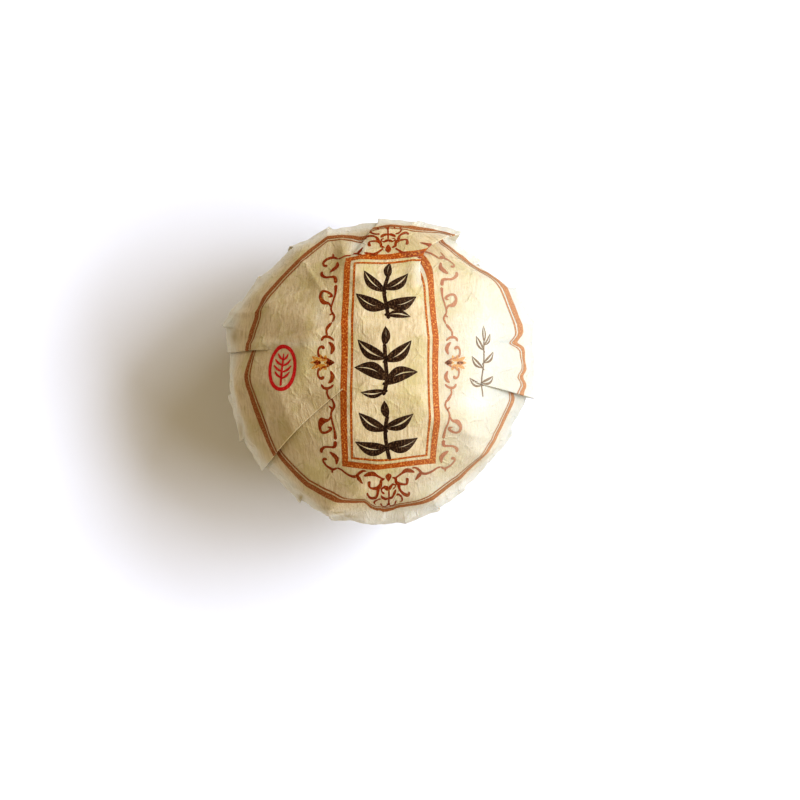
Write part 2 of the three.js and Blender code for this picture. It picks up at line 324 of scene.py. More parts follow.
def creases(x, y):
    total = np.zeros(x.shape)
    for (x0, y0), (x1, y1), depth, half in CREASES:
        span = math.hypot(x1 - x0, y1 - y0)
        along = np.clip(((x - x0) * (x1 - x0) + (y - y0) * (y1 - y0)) / span**2, 0, 1)
        away = np.hypot(x - mix(x0, x1, along), y - mix(y0, y1, along))
        fade = 0.35 + 0.65 * np.sin(np.pi * np.clip(along, 0.02, 0.98))
        total -= depth * np.exp(-((away / half) ** 2)) * fade
    return total


class Wrapper:
    """The paper as a grid: one row for each polar angle, one column for each place round the ball.

    A panel is the paper between two folds. An edge is a fold or a small pleat, and a strip is the paper
    between two edges. Heights are off the smooth ball.
    """

    def __init__(self, thickness, overhang):
        self.thickness = thickness
        self.overhang = overhang
        self.polar = np.concatenate([FACE_ROWS, mix(GATHER_TO, SEAT_POLAR, SEAT_ROWS / SEAT_RADIUS)])
        self.rows = len(FACE_ROWS)
        self.around = BALL_RADIUS * np.sin(np.radians(np.minimum(self.polar, SEAT_POLAR)))
        self.around[self.rows:] = SEAT_ROWS
        self.panels = [self.panel(k) for k in range(len(FOLDS))]
        self.edges = [edge for k in range(len(FOLDS)) for edge in self.panel_edges(k)]
        self.strips = [(edge, self.edges[(i + 1) % len(self.edges)], i + 1 == len(self.edges))
                       for i, edge in enumerate(self.edges)]
        self.columns = []
        for i, strip in enumerate(self.strips):
            self.add_strip(strip)
            self.add_hidden(strip, self.strips[(i + 1) % len(self.strips)])

    def fold_rows(self, fold):
        """How a fold runs down the ball: azimuths, heights on both sides and hidden paper."""
        p = self.polar
        outline = ease(p, fold["starts"], RIM)
        narrow_from = mix(SMALL_STEP_FROM, FULL_STEP_FROM, min(abs(fold["step"]) / FULL_STEP, 1))
        step = fold["step"] * ease(p, narrow_from, NARROW_FOLDS_TO) / 2
        left = mix(1, GATHERED_LIFT, ease(p, RIM, SEAT_POLAR))
        before = left * ((fold["before"] - BALL_RADIUS) * outline + step)
        after = left * ((fold["after"] - BALL_RADIUS) * outline - step)
        sign = 1 if fold["before"] + fold["step"] > fold["after"] else -1
        flat = ease(p, *FLATTENED)
        middle = (before + after) / 2
        before, after = mix(before, middle, flat), mix(after, middle, flat)
        starts = fold["starts"] if fold["wide"] else narrow_from
        tuck_within = WIDE_TUCK_WITHIN if fold["wide"] else NARROW_TUCK_WITHIN
        layer = LAYER * ease(p, starts, starts + LAYER_WITHIN) * (1 - flat) * fold.get("layer", 1)
        return dict(
            sheet=sheet_azimuth(fold, p), turn=side_turn(fold, p), sign=sign,
            before=before + sign * layer / 2, after=after - sign * layer / 2,
            tuck=fold["tuck"] * ease(p, starts, starts + tuck_within),
        )

    def panel(self, k):
        following = FOLDS[(k + 1) % len(FOLDS)]
        first, last = self.fold_rows(FOLDS[k]), self.fold_rows(following)
        if k + 1 == len(FOLDS):
            last["sheet"] = last["sheet"] + 360
        width = (last["sheet"] + last["turn"]) - (first["sheet"] + first["turn"])
        gathered = ease(self.polar, GATHER_FROM, SEAT_POLAR)
        sag = BALL_RADIUS * np.sin(np.radians(self.polar)) * (1 - np.cos(np.radians(width) / 2))
        sag = sag * ease(self.polar, CORNERS_FROM, RIM) * (1 - gathered)
        return dict(first=first, last=last, width=width, sag=sag, gathered=gathered,
                    slip=(FOLDS[k]["slip"][1], following["slip"][0]))

    def panel_off(self, k, share):
        panel = self.panels[k]
        soft_share = share * share * (3 - 2 * share)
        along = mix(soft_share, share, ease(self.polar, CORNERS_FROM, RIM))
        chord = mix(panel["first"]["after"], panel["last"]["before"], along)
        flute = FLUTE_DEPTH * panel["gathered"] * np.cos(np.pi * share) ** 2
        return chord - 4 * share * (1 - share) * panel["sag"] - flute

    def panel_azimuth(self, k, share):
        first, last = self.panels[k]["first"], self.panels[k]["last"]
        return mix(first["sheet"] + first["turn"], last["sheet"] + last["turn"], share)

    def edge(self, kind, **values):
        overlap, lift = EDGE_KINDS[kind]
        return dict(values, wide=kind in ("wide", "soft"), overhang=self.overhang * overlap, lip=lift)

    def panel_edges(self, k):
        """The fold that starts panel k, then the small pleats inside the panel."""
        previous, here, last = self.panels[k - 1]["last"], self.panels[k]["first"], self.panels[k]["last"]
        kind = "soft" if FOLDS[k].get("soft") else "wide" if FOLDS[k]["wide"] else "narrow"
        found = [self.edge(
            kind, panel=k, share=0.0, sheet=here["sheet"], sign=here["sign"],
            before=previous["before"], after=here["after"], tuck=here["tuck"],
        )]
        start = FOLDS[k]["at"]
        end = FOLDS[(k + 1) % len(FOLDS)]["at"] + (360 if k + 1 == len(FOLDS) else 0)
        for at, step, begins in SMALL_PLEATS:
            for turned in (at, at - 360):
                share = (turned - start) / (end - start)
                if PLEAT_CLEARANCE < share < 1 - PLEAT_CLEARANCE:
                    rise = abs(step) * ease(self.polar, begins, begins + PLEAT_RISES_WITHIN)
                    rise = rise * (1 - ease(self.polar, *PLEATS_FLATTENED)) / 2
                    off, sign = self.panel_off(k, share), 1 if step > 0 else -1
                    found.append(self.edge(
                        "pleat", panel=k, share=share, sheet=mix(here["sheet"], last["sheet"], share),
                        sign=sign, before=off + sign * rise, after=off - sign * rise,
                        tuck=PLEAT_TUCK * ease(self.polar, begins, begins + PLEAT_TUCK_WITHIN),
                    ))
        return sorted(found, key=lambda edge: edge["share"])

    def strip_place(self, strip, v):
        """The paper at share v of a strip, with its share of the panel and the strip's width as reach."""
        a, b, last = strip
        k = a["panel"]
        end = b["share"] if b["panel"] == k and b["share"] > 0 else 1.0
        u = mix(a["share"], end, v)
        off = self.panel_off(k, u)
        reach = np.radians(self.panels[k]["width"]) * self.around * (end - a["share"])
        raise_a = a["after"] - self.panel_off(k, a["share"])
        raise_b = b["before"] - self.panel_off(k, end)
        raise_a, raise_b = raise_a * (a["share"] > 0), raise_b * (end < 1)  # a panel has its folds' heights
        off = off + (raise_a + self.lip_height(a, -1)) * fade_at_edge(v * reach, v)
        off = off + (raise_b + self.lip_height(b, 1)) * fade_at_edge((1 - v) * reach, 1 - v)
        scale = 180 / np.pi / np.maximum(SHEET_STRETCH * np.radians(self.polar), 0.5)
        sheet_a = a["sheet"] + a["tuck"] / 2 * scale
        sheet_b = b["sheet"] + (360 if last else 0) - b["tuck"] / 2 * scale
        return dict(azimuth=self.panel_azimuth(k, u), off=off, sheet=mix(sheet_a, sheet_b, v),
                    slip=mix(*self.panels[k]["slip"], u), share=u, reach=reach)

    def lip_height(self, edge, side):
        """The upper layer lifts beside an edge and the lower dips; side is 1 before the edge, -1 after."""
        gap = np.abs(edge["before"] - edge["after"])
        rise = edge["lip"] * np.minimum(gap / LIP_GAP, 1)
        return rise if side == edge["sign"] else -LIP_DIP * rise

    def add_strip(self, strip):
        rim_row = int(np.argmin(np.abs(self.polar - RIM)))
        width = float(self.strip_place(strip, 0.0)["reach"][rim_row])
        inner = max(int(round(width / COLUMN_WIDTH)), 3)
        margin = EDGE_MARGIN / width
        for v in [0.0] + list(mix(margin, 1 - margin, np.linspace(0, 1, inner))) + [1.0]:
            self.columns.append(self.strip_place(strip, v))

    def add_hidden(self, before, after):
        """The paper folded away at the edge between two strips."""
        edge = after[0]
        sign = edge["sign"]
        upper, lower = (before, after) if sign > 0 else (after, before)
        brink = 1.0 if sign > 0 else 0.0  # where the edge lies in the upper strip
        top, below = self.strip_place(upper, brink), self.strip_place(lower, 1 - brink)
        ends = (top, below) if sign > 0 else (below, top)
        sheets = ends[0]["sheet"], ends[1]["sheet"] + (360 if before[2] else 0)
        gap = np.maximum(top["off"] - below["off"], 0)
        opened = np.minimum(gap / OPEN_GAP, 1)
        reach = np.minimum(edge["overhang"] * opened, MOST_OVERLAP * top["reach"])
        thick = np.minimum(self.thickness, gap * GAP_SHARE)
        steps = [(-0.5 * thick, 0.5 * thick, 0), (0.04 * opened, thick, 0)]
        for back, down in WIDE_PROFILE if edge["wide"] else NARROW_PROFILE:
            steps.append((back * reach, thick, down))
        for n, (back, drop, down) in enumerate(steps if sign > 0 else steps[::-1]):
            v = np.clip(back / np.maximum(top["reach"], 0.05), 0, 1)
            there = self.strip_place(upper, brink - sign * v)
            low = np.minimum(below["off"], there["off"] - LAYERS_APART * thick)
            share = (n + 1) / (len(steps) + 1)
            self.columns.append(dict(
                azimuth=top["azimuth"] - sign * np.degrees(back / self.around),
                off=mix(there["off"] - drop, low, down), sheet=mix(*sheets, share),
                slip=mix(ends[0]["slip"], ends[1]["slip"], share), share=there["share"],
            ))

    def points(self):
        """Places of all grid points, their sheet places and the tones of the paper there."""
        azimuth, off, sheet, slip, share = (
            np.stack([np.broadcast_to(column[key], self.polar.shape) for column in self.columns], axis=1)
            for key in ("azimuth", "off", "sheet", "slip", "share"))
        polar = np.broadcast_to(self.polar[:, None], azimuth.shape)
        toward = direction(polar, azimuth)
        smooth = smooth_radius(toward)
        patch = (patched_radius(toward) - smooth) * mix(1, PATCHES_AT_RIM, ease(polar, CORNERS_FROM, RIM))
        a = np.radians(azimuth)
        flutter = sum(
            height * np.sin(count * a + phase + polar * lean) for height, count, phase, lean in FLUTTER)
        flutter = flutter * ease(polar, *RIPPLE_ROWS[:2]) * (1 - ease(polar, *RIPPLE_ROWS[2:]))
        face = 1 - ease(polar, *FACE_TO)
        on_ball = toward * smooth[..., None]
        radius = smooth + patch + off + flutter + creases(on_ball[..., 0], on_ball[..., 1]) * face
        place = toward * radius[..., None]
        place[..., 2] = np.maximum(place[..., 2] + CENTRE_HEIGHT, seat_height(SEAT_RADIUS, share))
        rows = self.rows
        distance = np.broadcast_to(SEAT_ROWS[:, None], azimuth[rows:].shape)
        knot = 1 - ease(distance, KNOT_RADIUS, KNOT_RADIUS + KNOT_GROOVE_WIDTH)
        lobe = KNOT_LOBE_DEPTH * np.sin(KNOT_LOBES * a[rows:]) * knot * distance / KNOT_RADIUS
        reach = distance + lobe + off[rows:] * distance / SEAT_RADIUS
        pleats = 0.5 - 0.5 * np.cos(SWIRL_PLEATS * a[rows:] + SWIRL_TURN * distance)
        swirl = SWIRL_HEIGHT * knot * pleats * ease(distance, 0.2, 1.2)
        place[rows:, :, 0] = reach * np.cos(a[rows:])
        place[rows:, :, 1] = reach * np.sin(a[rows:])
        place[rows:, :, 2] = seat_height(distance, share[rows:]) + swirl
        x, y = place[..., 0], place[..., 1]
        tones = dict(Loose=ease(polar, LOOSE_FROM, LOOSE_TO))
        for name, patches in (("Tea", TEA_AND_SHADE_PATCHES), ("Pale", PALE_AND_HIGHLIGHT_PATCHES), ("Grey", GREY_AND_SHADE_PATCHES)):
            tones[name] = tone(patches, x, y) * face
        return place + (*CENTRE_SHIFT, 0), self.flat_places(azimuth, polar, sheet, slip, distance), tones

    def flat_places(self, azimuth, polar, sheet, slip, distance):
        extra = sum(s * np.exp(-(((azimuth - at + 180) % 360 - 180) / half) ** 2) for at, s, half in SLIPS)
        reach = SHEET_STRETCH * np.radians(polar)
        reach[self.rows:] = reach[self.rows - 1] + (SEAT_RADIUS - distance)
        reach = reach + (slip + extra) * ease(polar, SLIP_FROM, SLIP_TO)
        return reach[..., None] * np.stack([np.cos(np.radians(sheet)), np.sin(np.radians(sheet))], axis=-1)


def wrapper_mesh(name, thickness, overhang):
    """Joins the grid into one closed skin: a pole at the top, one under the ball, and the seam merged."""
    wrapper = Wrapper(thickness, overhang)
    place, flat, tones = wrapper.points()
    rows, columns = place.shape[:2]
    crown = float(patched_radius(np.array([[0, 0, 1.0]]))[0])
    poles = [(*CENTRE_SHIFT, CENTRE_HEIGHT + crown), (*CENTRE_SHIFT, 0.0)]
    points = np.vstack([place.reshape(-1, 3), poles])
    sheet = np.vstack([flat.reshape(-1, 2), [(0, 0)], [(0, 0)]])
    keys = np.round(points / 1e-5).astype(np.int64)
    _, first, same = np.unique(keys, axis=0, return_index=True, return_inverse=True)
    same = same.ravel()
    top_index, bottom_index = rows * columns, rows * columns + 1
    faces, corners = [], []

    def add(*grid):
        kept = [g for i, g in enumerate(grid) if same[g] != same[grid[i - 1]]]
        if len({same[g] for g in kept}) >= 3 and len(kept) == len({same[g] for g in kept}):
            faces.append([same[g] for g in kept])
            corners.extend(kept)

    for c in range(columns):
        d = (c + 1) % columns
        add(top_index, c, d)
        for r in range(rows - 1):
            add(r * columns + c, (r + 1) * columns + c, (r + 1) * columns + d, r * columns + d)
        last = (rows - 1) * columns
        add(bottom_index, last + d, last + c)
    mesh = bpy.data.meshes.new(name)
    mesh.from_pydata((points[first] * MM).tolist(), [], faces)
    uv = mesh.uv_layers.new(name="Sheet")
    values = sheet[corners] / SHEET_SIZE + 0.5
    at_bottom = np.array(corners) == bottom_index
    values[at_bottom] = values[np.roll(at_bottom, -1)]  # as its neighbour, or the map would run to the top
    uv.data.foreach_set("uv", values.astype(np.float32).ravel())
    for label, grid in tones.items():
        attribute = mesh.attributes.new(label, "FLOAT", "POINT")
        values = np.concatenate([grid.ravel(), [0, label == "Loose"]])[first]
        attribute.data.foreach_set("value", values.astype(np.float32))
    mesh.polygons.foreach_set("use_smooth", [True] * len(mesh.polygons))
    mesh.validate()
    mesh.update()
    return mesh


# Printing: flat shapes in sheet coordinates

PRINT_STEP = 0.13  # the most between two points along a printed shape
PRINT_WIDTH = 0.16  # the most between two points across it
PRINT_CENTRE = (1.2, 0.5)  # middle of the frame on the sheet
BORDER_CENTRE = (1.03, 0.28)
BORDER_GAP = 0.2
FRAME_CORNERS = [(-4.6, -10.13), (4.6, -10.03), (4.25, 11.28), (-4.36, 10.53)]  # outer, from PRINT_CENTRE
FRAME_GAP = 0.3


class Flat:
    """A set of flat printed shapes."""

    def __init__(self, centre=(0, 0)):
        self.centre = np.array(centre, float)
        self.points, self.faces = [], []

    def grid(self, points):
        """Adds a grid of points, shape (along, across, 2), with its faces turned up."""
        along, across = points.shape[:2]
        start = len(self.points)
        self.points.extend((points.reshape(-1, 2) + self.centre).tolist())
        middle = along // 2
        ahead = points[min(middle + 1, along - 1), 0] - points[max(middle - 1, 0), 0]
        aside = points[middle, -1] - points[middle, 0]
        up = ahead[0] * aside[1] - ahead[1] * aside[0] > 0
        for i in range(along - 1):
            for j in range(across - 1):
                a, b = start + i * across + j, start + (i + 1) * across + j
                self.faces.append((a, b, b + 1, a + 1) if up else (a, a + 1, b + 1, b))

    def stroke(self, points, widths, closed=False):
        """A line of changing width through the points, with round ends."""
        path, width = through(points, widths, closed)
        if closed:
            tangent = np.roll(path, -1, axis=0) - np.roll(path, 1, axis=0)
        else:
            tangent = np.gradient(path, axis=0)
            run = np.concatenate([[0], np.cumsum(np.hypot(*np.diff(path, axis=0).T))])
            to_end = np.minimum(run, run[-1] - run)
            half = np.maximum(width / 2, 1e-4)
            width = width * np.sqrt(np.clip(1 - (1 - np.clip(to_end / half, 0, 1)) ** 2, 0.02, 1))
        tangent = tangent / np.hypot(*tangent.T)[:, None]
        side = np.stack([-tangent[:, 1], tangent[:, 0]], axis=1)
        across = max(int(math.ceil(float(width.max()) / PRINT_WIDTH)), 1) + 1
        offsets = np.linspace(-0.5, 0.5, across)
        grid = path[:, None, :] + side[:, None, :] * (width[:, None] * offsets)[..., None]
        if closed:
            grid = np.concatenate([grid, grid[:1]])
        self.grid(grid)

    def leaf(self, base, tip, width, bend=0.0, blunt=0.75):
        """A leaf blade from its base to its tip, bent sideways by a share of its length."""
        base, tip = np.array(base, float), np.array(tip, float)
        along = tip - base
        span = float(np.hypot(*along))
        side = np.array([-along[1], along[0]]) / span
        t = np.linspace(0.0, 1.0, max(int(span / PRINT_STEP), 6))
        axis = base + along * t[:, None] + side * (bend * span * np.sin(np.pi * t))[:, None]
        half = width / 2 * np.clip(np.sin(np.pi * t**blunt), 0.02, 1) ** 0.85
        across = max(int(math.ceil(width / PRINT_WIDTH)), 2) + 1
        offsets = np.linspace(-1, 1, across)
        self.grid(axis[:, None, :] + side * (half[:, None] * offsets)[..., None])

    def piece(self, name):
        mesh = bpy.data.meshes.new(name)
        places = np.array(self.points)
        mesh.from_pydata([(x * MM, y * MM, 0.0) for x, y in places], [], self.faces)
        uv = mesh.uv_layers.new(name="Sheet")
        corners = np.empty(len(mesh.loops), np.int32)
        mesh.loops.foreach_get("vertex_index", corners)
        uv.data.foreach_set("uv", (places[corners] / SHEET_SIZE + 0.5).astype(np.float32).ravel())
        mesh.polygons.foreach_set("use_smooth", [True] * len(mesh.polygons))
        mesh.update()
        piece = bpy.data.objects.new(name, mesh)
        bpy.context.scene.collection.objects.link(piece)
        return piece


def through(points, widths, closed=False):
    """A smooth path through the points, with a width at each of its places."""
    points = np.array(points, float)
    widths = np.broadcast_to(np.asarray(widths, float), len(points))
    if closed:
        padded, widths = np.vstack([points[-1:], points, points[:2]]), np.append(widths, widths[0])
    else:
        padded = np.vstack([2 * points[0] - points[1], points, 2 * points[-1] - points[-2]])
    path, width = [], []
    for i in range(len(padded) - 3):
        p0, p1, p2, p3 = padded[i:i + 4]
        count = max(int(math.ceil(float(np.hypot(*(p2 - p1))) / PRINT_STEP)), 1)
        for t in np.arange(count) / count:
            straight, curved = 2 * p1 + (p2 - p0) * t, (2 * p0 - 5 * p1 + 4 * p2 - p3) * t**2
            path.append((straight + curved + (3 * p1 - p0 - 3 * p2 + p3) * t**3) / 2)
            width.append(mix(widths[i], widths[i + 1], t))
    if not closed:
        path.append(points[-1])
        width.append(widths[-1])
    return np.array(path), np.array(width)


def mirrored(points, across_x, across_y, lift=0.0):
    return [(x * (-1 if across_x else 1), (lift - y) if across_y else y) for x, y in points]


# The quarter of the scrollwork at the frame's lower left, from the frame's middle: points, then widths.
SCROLLS = [
    ([(-5.28, -3.5), (-5.12, -4.05), (-5.36, -4.5), (-5.49, -4.9), (-5.36, -5.55), (-5.17, -6.35),
      (-5.13, -7.3)], [.14, .2, .16, .18, .16, .18, .34]),
    ([(-5.6, -4.2), (-5.2, -4.45)], [.12, .24]),
    ([(-5.49, -5.0), (-5.74, -5.4), (-6.27, -5.56), (-6.61, -6.1), (-6.46, -6.6), (-6.05, -6.62),
      (-5.64, -6.38), (-5.5, -6.15), (-5.85, -6.05)], [.12, .2, .44, .28, .26, .22, .24, .26, .12]),
    ([(-5.15, -7.45), (-5.27, -8.05), (-5.72, -8.15), (-6.23, -8.2), (-6.67, -8.55), (-6.7, -8.95)],
     [.38, .3, .2, .22, .32, .24]),
    ([(-5.85, -8.7), (-5.46, -9.0), (-5.16, -9.4), (-5.22, -10.05)], [.14, .44, .46, .14]),
    ([(-6.2, -9.66), (-6.48, -9.6), (-6.63, -9.9), (-6.31, -10.38), (-5.92, -10.64), (-5.6, -10.72),
      (-5.2, -10.46)], [.36, .28, .2, .22, .3, .26, .18]),
    ([(-5.2, -10.46), (-4.75, -10.56), (-4.27, -10.88), (-3.72, -11.07), (-3.25, -11.0), (-3.08, -10.8),
      (-2.8, -10.5), (-2.5, -10.32), (-2.2, -10.34)], [.18, .18, .2, .26, .28, .24, .24, .2, .14]),
    ([(-5.72, -10.75), (-5.78, -11.2)], [.24, .12]),
    ([(-3.15, -10.8), (-2.97, -11.2), (-2.6, -11.75)], [.14, .42, .1]),
    ([(-2.5, -10.86), (-2.0, -10.64), (-1.62, -10.58), (-1.25, -10.86), (-.85, -11.2), (-.6, -11.4)],
     [.14, .46, .54, .26, .16, .18]),
]

# Half of the ornament under the frame's middle.
CROWN = [
    ([(-.35, -11.3), (-.7, -11.45), (-.76, -11.78), (-.94, -12.0), (-1.2, -12.06), (-1.7, -12.14),
      (-1.88, -12.0), (-1.88, -11.6), (-1.74, -11.48)], [.16, .26, .28, .38, .24, .18, .24, .3, .14]),
    ([(-1.02, -12.1), (-1.08, -12.45), (-1.26, -12.75), (-1.6, -13.08), (-1.94, -13.25), (-2.05, -13.05),
      (-2.05, -12.85)], [.38, .22, .2, .3, .38, .26, .12]),
    ([(-.4, -12.34), (-.68, -12.26), (-.66, -12.06), (-.32, -12.0), (0, -12.16)], [.12, .12, .12, .13, .2]),
    ([(-.5, -11.9), (-.26, -12.04), (0, -12.14)], [.12, .26, .3]),
    ([(-.75, -12.48), (-.58, -12.68), (-.3, -12.84), (0, -12.82)], [.12, .32, .32, .2]),
    ([(-.76, -12.95), (-1.06, -13.04), (-1.3, -13.35), (-1.42, -13.9), (-1.26, -14.25)],
     [.24, .2, .16, .18, .12]),
    ([(-.75, -13.75), (-.68, -14.3), (-.38, -14.45), (-.12, -14.2), (-.06, -13.6)],
     [.18, .16, .14, .14, .1]),
]
CROWN_SHIFT = -0.1  # the two crowns lie this far to the side of the frame's middle
CROWN_LIFT = 0.3

# Half of the ornament beside the frame's middle.
SIDE = [
    ([(-5.28, 3.6), (-5.5, 3.3), (-5.8, 2.85), (-5.78, 2.4)], [.16, .3, .16, .18]),
    ([(-6.34, 1.95), (-6.17, 2.24), (-5.83, 2.34), (-5.42, 2.2), (-5.17, 1.95)], [.22, .22, .26, .2, .16]),
    ([(-5.68, 1.85), (-5.39, 1.6), (-5.27, 1.2), (-5.48, .7)], [.14, .34, .38, .14]),
    ([(-6.06, 1.22), (-6.31, 1.42), (-6.56, 1.27), (-6.65, 1.0), (-6.64, .75), (-6.53, .45)],
     [.3, .26, .18, .16, .18, .28]),
    ([(-6.4, .52), (-6.2, .38), (-5.9, .35)], [.18, .14, .18]),
    ([(-5.85, .38), (-5.6, .1), (-5.3, -.02)], [.16, .3, .34]),
    ([(-6.86, .14), (-6.62, -.02)], [.2, .28]),
    ([(-6.9, .66), (-6.84, .56)], [.2, .2]),
    ([(-7.32, .3), (-7.24, .24)], [.22, .22]),
    ([(-7.08, -.05), (-6.7, -.05), (-6.4, -.05)], [.14, .32, .2]),
    ([(-5.92, -.05), (-5.55, -.05), (-5.12, -.05)], [.16, .5, .12]),
]
SIDE_MIDDLE = -0.05
TOP_LIFT = 0.1  # the upper half of the scrollwork stands this much further out, and the crown CROWN_LIFT


def border_print(radius, thick, thin):
    """The round border: a thick line and a thin one inside it, circles on the sheet."""
    border = Flat(BORDER_CENTRE)
    turns = np.radians(np.arange(0, 360, 3.0))
    circle = np.stack([np.cos(turns), np.sin(turns)], axis=1)
    border.stroke(circle * radius, thick, closed=True)
    border.stroke(circle * (radius - thick / 2 - BORDER_GAP - thin / 2), thin, closed=True)
    return border


def frame_print(thick, thin):
    """The long frame: a thick line and a thin one inside it, with square corners."""
    lines = Flat(PRINT_CENTRE)
    for inset, width in ((0.0, thick), (thick + FRAME_GAP, thin)):
        inner = [corner - np.copysign(inset, corner) for corner in np.array(FRAME_CORNERS)]
        for a, b in zip(inner, inner[1:] + inner[:1]):
            span = np.hypot(*(b - a))
            side = np.array([a[1] - b[1], b[0] - a[0]]) / span
            run = np.linspace(0, 1, int(span / PRINT_STEP))[:, None, None]
            across = np.linspace(0, 1, max(int(width / PRINT_WIDTH), 1) + 1)[None, :, None]
            lines.grid(a + (b - a) * run + side * width * across)
    return lines


# Golden petals round the heart of a side ornament: direction, 0 towards the frame, and length.
PETALS = [(0, 1.0), (62, 0.8), (105, 0.8), (150, 1.15), (180, 1.15), (210, 1.15), (255, 0.8), (298, 0.8)]


def blossom_print():
    """The golden petals of the two side ornaments."""
    petals = Flat(PRINT_CENTRE)
    for sign in (-1, 1):
        heart = np.array([sign * 6.25, SIDE_MIDDLE])
        for turn, reach in PETALS:
            out = np.array([-sign * math.cos(math.radians(turn)), math.sin(math.radians(turn))])
            petals.leaf(heart + out * 0.12, heart + out * reach, 0.38, 0, 0.9)
    return petals


def scroll_print():
    """The scrollwork round the frame, drawn as a quarter or a half and mirrored."""
    scrolls = Flat(PRINT_CENTRE)
    for strokes, lift, shift in (
            (SCROLLS, TOP_LIFT, 0), (CROWN, CROWN_LIFT, CROWN_SHIFT), (SIDE, 2 * SIDE_MIDDLE, 0)):
        for points, widths in strokes:
            for across_x in (False, True):
                for across_y in (False, True):
                    copy = mirrored(points, across_x, across_y, lift)
                    scrolls.stroke([(x + shift, y) for x, y in copy], widths)
    for across_y in (False, True):
        base, tip, *stem = mirrored(
            [(CROWN_SHIFT, y) for y in (-10.75, -11.65, -12.1, -13.2, -14.25)], False, across_y, CROWN_LIFT)
        scrolls.leaf(base, tip, 0.6)
        scrolls.stroke(stem, 0.14)
    return scrolls


def sprig(flat, stem, leaves, stem_width):
    """A sprig in brush strokes: a stem, and leaves as (base, tip, width, bend), each with a pale midrib."""
    flat.stroke(stem, stem_width)
    for base, tip, width, bend in leaves:
        base, tip = np.array(base, float), np.array(tip, float)
        along = (tip - base) / np.hypot(*(tip - base))
        side = np.array([-along[1], along[0]]) * width * 0.3
        flat.leaf(base + side * 0.2, tip, width * 0.42, bend + 0.10)
        flat.leaf(base - side * 0.2, tip, width * 0.42, bend - 0.10)
        stalk = [base - along * 0.3, base, base + along * 0.35]
        flat.stroke(stalk, [stem_width * 0.8, stem_width * 0.7, 0.08])


STEM_WIDTH = 0.34


def ink_sprigs():
    ink = Flat(PRINT_CENTRE)
    x = -0.45
    sprig(ink, [(x + .3, 3.9), (x + .1, 5.2), (x - .1, 6.6), (x + .3, 8.3)], [
        ((x + .1, 5.0), (x - 2.7, 6.3), 1.5, .12), ((x + .05, 5.3), (x + 2.9, 6.1), 1.5, -.12),
        ((x - .1, 6.6), (x - 2.0, 8.7), 1.2, .1), ((x, 6.8), (x + 2.2, 8.6), 1.2, -.1),
        ((x + .25, 8.1), (x + .5, 9.9), .9, .05), ((x + .2, 4.3), (x + 2.3, 4.1), .8, .1)], STEM_WIDTH)
    sprig(ink, [(x - .2, -3.0), (x + .1, -1.6), (x, 0.0), (x - .1, 1.6)], [
        ((x, -1.9), (x + 2.9, -.9), 1.5, .12), ((x + .1, -1.5), (x - 2.8, -.5), 1.5, -.12),
        ((x, .1), (x + 2.3, 1.9), 1.3, -.1), ((x, .3), (x - 2.5, 2.0), 1.2, .1),
        ((x - .1, 1.5), (x, 3.2), .9, -.05), ((x - .1, -2.6), (x - 2.2, -2.7), .8, .1)], STEM_WIDTH)
    sprig(ink, [(x + .4, -9.1), (x + .1, -7.6), (x, -6.2), (x + .2, -4.9)], [
        ((x + .2, -8.0), (x - 2.8, -7.4), 1.4, .12), ((x + .15, -7.8), (x + 3.0, -7.0), 1.5, -.14),
        ((x, -6.3), (x - 2.4, -4.6), 1.3, .1), ((x, -6.1), (x + 2.5, -4.7), 1.2, -.1),
        ((x + .15, -5.1), (x - .1, -3.5), .9, .05)], STEM_WIDTH)
    return ink


def small_sprig():
    ink = Flat((0, 0))
    x = 10.4
    sprig(ink, [(x + .2, -3.0), (x, -1.2), (x + .1, .8), (x - .1, 2.6)], [
        ((x + .1, -1.9), (x - 1.4, -1.0), .5, .1), ((x, -1.4), (x + 1.4, -.6), .5, -.1),
        ((x, 0), (x - 1.3, 1.1), .5, .1), ((x + .1, .5), (x + 1.3, 1.6), .5, -.1),
        ((x, 1.7), (x - 1.0, 3.0), .45, .1), ((x, 2.2), (x + .9, 3.4), .45, -.1),
        ((x - .1, 2.5), (x, 4.1), .4, 0)], 0.14)
    return ink


def red_seal():
    seal = Flat((-9.15, 0.0))
    turns = np.arange(0, 360, 15.0)
    oval = [(1.42 * math.cos(math.radians(t)), 2.05 * math.sin(math.radians(t))) for t in turns]
    seal.stroke(oval, 0.34, closed=True)
    seal.stroke([(0, -1.75), (-.05, -.6), (0, .6), (.05, 1.4)], [.22, .24, .2, .1])
    for y, reach in ((-1.05, .85), (-.45, 1.0), (.15, .9), (.7, .6)):
        seal.stroke([(0, y), (reach * .6, y + .25), (reach, y + .65)], [.12, .24, .12])
        seal.stroke([(0, y + .05), (-reach * .6, y + .32), (-reach, y + .7)], [.12, .24, .12])
    return seal


# Node helpers and materials


# The tea, pale and grey tones are partly painted shade and painted highlights
TONES = ("Loose", "Tea", "Pale", "Grey")  # the paper's attributes
FLECK_COLOUR = (0.32, 0.2, 0.08)
# Painted light: the paler colour that the inks take towards the lit right of the print
LIT_SIDE_INK_COLOUR = (0.74, 0.55, 0.36)


def put(tree, kind, inputs=None, **settings):
    node = tree.nodes.new(kind)
    for key, value in settings.items():
        setattr(node, key, value)
    for name, value in (inputs or {}).items():
        if isinstance(value, bpy.types.NodeSocket):
            tree.links.new(value, node.inputs[name])
        else:
            node.inputs[name].default_value = value
    return node


def new_material(name):
    material = bpy.data.materials.new(name)
    material.use_nodes = True
    material.node_tree.nodes.clear()
    return material, material.node_tree


def surface(tree, inputs):
    shader = put(tree, "ShaderNodeBsdfPrincipled", inputs)
    put(tree, "ShaderNodeOutputMaterial", {"Surface": shader.outputs[0]})


def vector(tree, operation, a, b=(0.0, 0.0, 0.0)):
    second = 3 if operation == "SCALE" else 1
    return put(tree, "ShaderNodeVectorMath", {0: a, second: b}, operation=operation).outputs[0]


